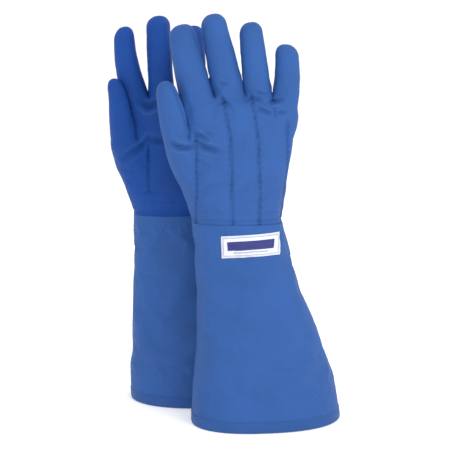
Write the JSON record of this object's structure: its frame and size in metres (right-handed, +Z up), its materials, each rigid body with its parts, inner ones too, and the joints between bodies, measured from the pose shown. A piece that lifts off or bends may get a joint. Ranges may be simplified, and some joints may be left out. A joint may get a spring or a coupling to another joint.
{
  "type": "cryogenic gloves",
  "caption": "Elbow-length padded cryogenic gloves: a left and right pair standing upright on flared cuffs, with jointed wrist, thumb and finger stalls.",
  "frame": {"origin": "bottom centre of the standing pair's bounding box, on the ground", "axes": "+Z up, -Y the front that faces the viewer, +X to the viewer's right"},
  "size_m": [0.2808, 0.187, 0.4643],
  "materials": {
    "shell": "matte water-repellent woven nylon",
    "insulation": "lofted fibre batting",
    "liner": "brushed knit",
    "binding": "woven tape",
    "label": "woven satin label"
  },
  "bodies": {
    "right_cuff": {"right_cuff_shell": "shell", "right_cuff_insulation": "insulation", "right_cuff_liner": "liner", "right_hem_binding": "binding", "right_label": "label"},
    "right_hand": {"right_index_back_panel": "shell", "right_middle_back_panel": "shell", "right_ring_back_panel": "shell", "right_palm_panel": "shell", "right_hand_insulation": "insulation", "right_hand_liner": "liner", "right_wrist_tape": "binding"},
    "right_thumb": {"right_thumb_shell": "shell", "right_thumb_insulation": "insulation", "right_thumb_liner": "liner"},
    "right_index": {"right_index_shell": "shell", "right_index_insulation": "insulation", "right_index_liner": "liner"},
    "right_middle": {"right_middle_shell": "shell", "right_middle_insulation": "insulation", "right_middle_liner": "liner"},
    "right_ring": {"right_ring_shell": "shell", "right_ring_insulation": "insulation", "right_ring_liner": "liner"},
    "right_little": {"right_little_shell": "shell", "right_little_insulation": "insulation", "right_little_liner": "liner"},
    "left_cuff": {"left_cuff_shell": "shell", "left_cuff_insulation": "insulation", "left_cuff_liner": "liner", "left_hem_binding": "binding", "left_label": "label"},
    "left_hand": {"left_index_back_panel": "shell", "left_middle_back_panel": "shell", "left_ring_back_panel": "shell", "left_palm_panel": "shell", "left_hand_insulation": "insulation", "left_hand_liner": "liner", "left_wrist_tape": "binding"},
    "left_thumb": {"left_thumb_shell": "shell", "left_thumb_insulation": "insulation", "left_thumb_liner": "liner"},
    "left_index": {"left_index_shell": "shell", "left_index_insulation": "insulation", "left_index_liner": "liner"},
    "left_middle": {"left_middle_shell": "shell", "left_middle_insulation": "insulation", "left_middle_liner": "liner"},
    "left_ring": {"left_ring_shell": "shell", "left_ring_insulation": "insulation", "left_ring_liner": "liner"},
    "left_little": {"left_little_shell": "shell", "left_little_insulation": "insulation", "left_little_liner": "liner"}
  },
  "joints": [
    {"name": "right_wrist_bend", "type": "hinge", "parent": "right_cuff", "child": "right_hand", "pos_m": [0.0177, -0.0379, 0.236], "axis": [-1, 0, 0], "range_deg": [-20, 14], "stiffness_Nm_per_rad": 1.5},
    {"name": "right_thumb_swing", "type": "hinge", "parent": "right_hand", "child": "right_thumb", "pos_m": [-0.0473, -0.0409, 0.32], "axis": [-0.6671, -0.6671, -0.3316], "range_deg": [0, 45], "stiffness_Nm_per_rad": 0.3},
    {"name": "right_index_bend", "type": "hinge", "parent": "right_hand", "child": "right_index", "pos_m": [-0.0223, -0.0379, 0.36175], "axis": [-0.9636, 0, -0.2672], "range_deg": [-10, 32], "stiffness_Nm_per_rad": 0.3},
    {"name": "right_middle_bend", "type": "hinge", "parent": "right_hand", "child": "right_middle", "pos_m": [0.0107, -0.0379, 0.364], "axis": [-0.9789, 0, -0.2045], "range_deg": [-10, 32], "stiffness_Nm_per_rad": 0.3},
    {"name": "right_ring_bend", "type": "hinge", "parent": "right_hand", "child": "right_ring", "pos_m": [0.0425, -0.0379, 0.36163], "axis": [-0.9949, 0, -0.1011], "range_deg": [-10, 32], "stiffness_Nm_per_rad": 0.3},
    {"name": "right_little_bend", "type": "hinge", "parent": "right_hand", "child": "right_little", "pos_m": [0.0676, -0.0379, 0.35662], "axis": [-0.9962, 0, 0.0872], "range_deg": [-10, 32], "stiffness_Nm_per_rad": 0.3},
    {"name": "left_wrist_bend", "type": "hinge", "parent": "left_cuff", "child": "left_hand", "pos_m": [-0.0563, 0.0521, 0.236], "axis": [1, 0, 0], "range_deg": [-20, 14], "stiffness_Nm_per_rad": 1.5},
    {"name": "left_thumb_swing", "type": "hinge", "parent": "left_hand", "child": "left_thumb", "pos_m": [-0.1213, 0.0491, 0.32], "axis": [0.705, -0.705, -0.0774], "range_deg": [0, 45], "stiffness_Nm_per_rad": 0.3},
    {"name": "left_index_bend", "type": "hinge", "parent": "left_hand", "child": "left_index", "pos_m": [-0.0963, 0.0521, 0.36175], "axis": [0.972, 0, 0.2351], "range_deg": [-10, 32], "stiffness_Nm_per_rad": 0.3},
    {"name": "left_middle_bend", "type": "hinge", "parent": "left_hand", "child": "left_middle", "pos_m": [-0.0633, 0.0521, 0.364], "axis": [0.9932, 0, 0.1167], "range_deg": [-10, 32], "stiffness_Nm_per_rad": 0.3},
    {"name": "left_ring_bend", "type": "hinge", "parent": "left_hand", "child": "left_ring", "pos_m": [-0.0315, 0.0521, 0.36163], "axis": [1, 0, 0.0087], "range_deg": [-10, 32], "stiffness_Nm_per_rad": 0.3},
    {"name": "left_little_bend", "type": "hinge", "parent": "left_hand", "child": "left_little", "pos_m": [-0.0064, 0.0521, 0.35662], "axis": [0.989, 0, -0.1478], "range_deg": [-10, 32], "stiffness_Nm_per_rad": 0.3},
    {"name": "left_glove_set_apart", "type": "slide", "parent": "right_cuff", "child": "left_cuff", "axis": [-1, 0, 0], "range_m": [0, 0.25]}
  ]
}
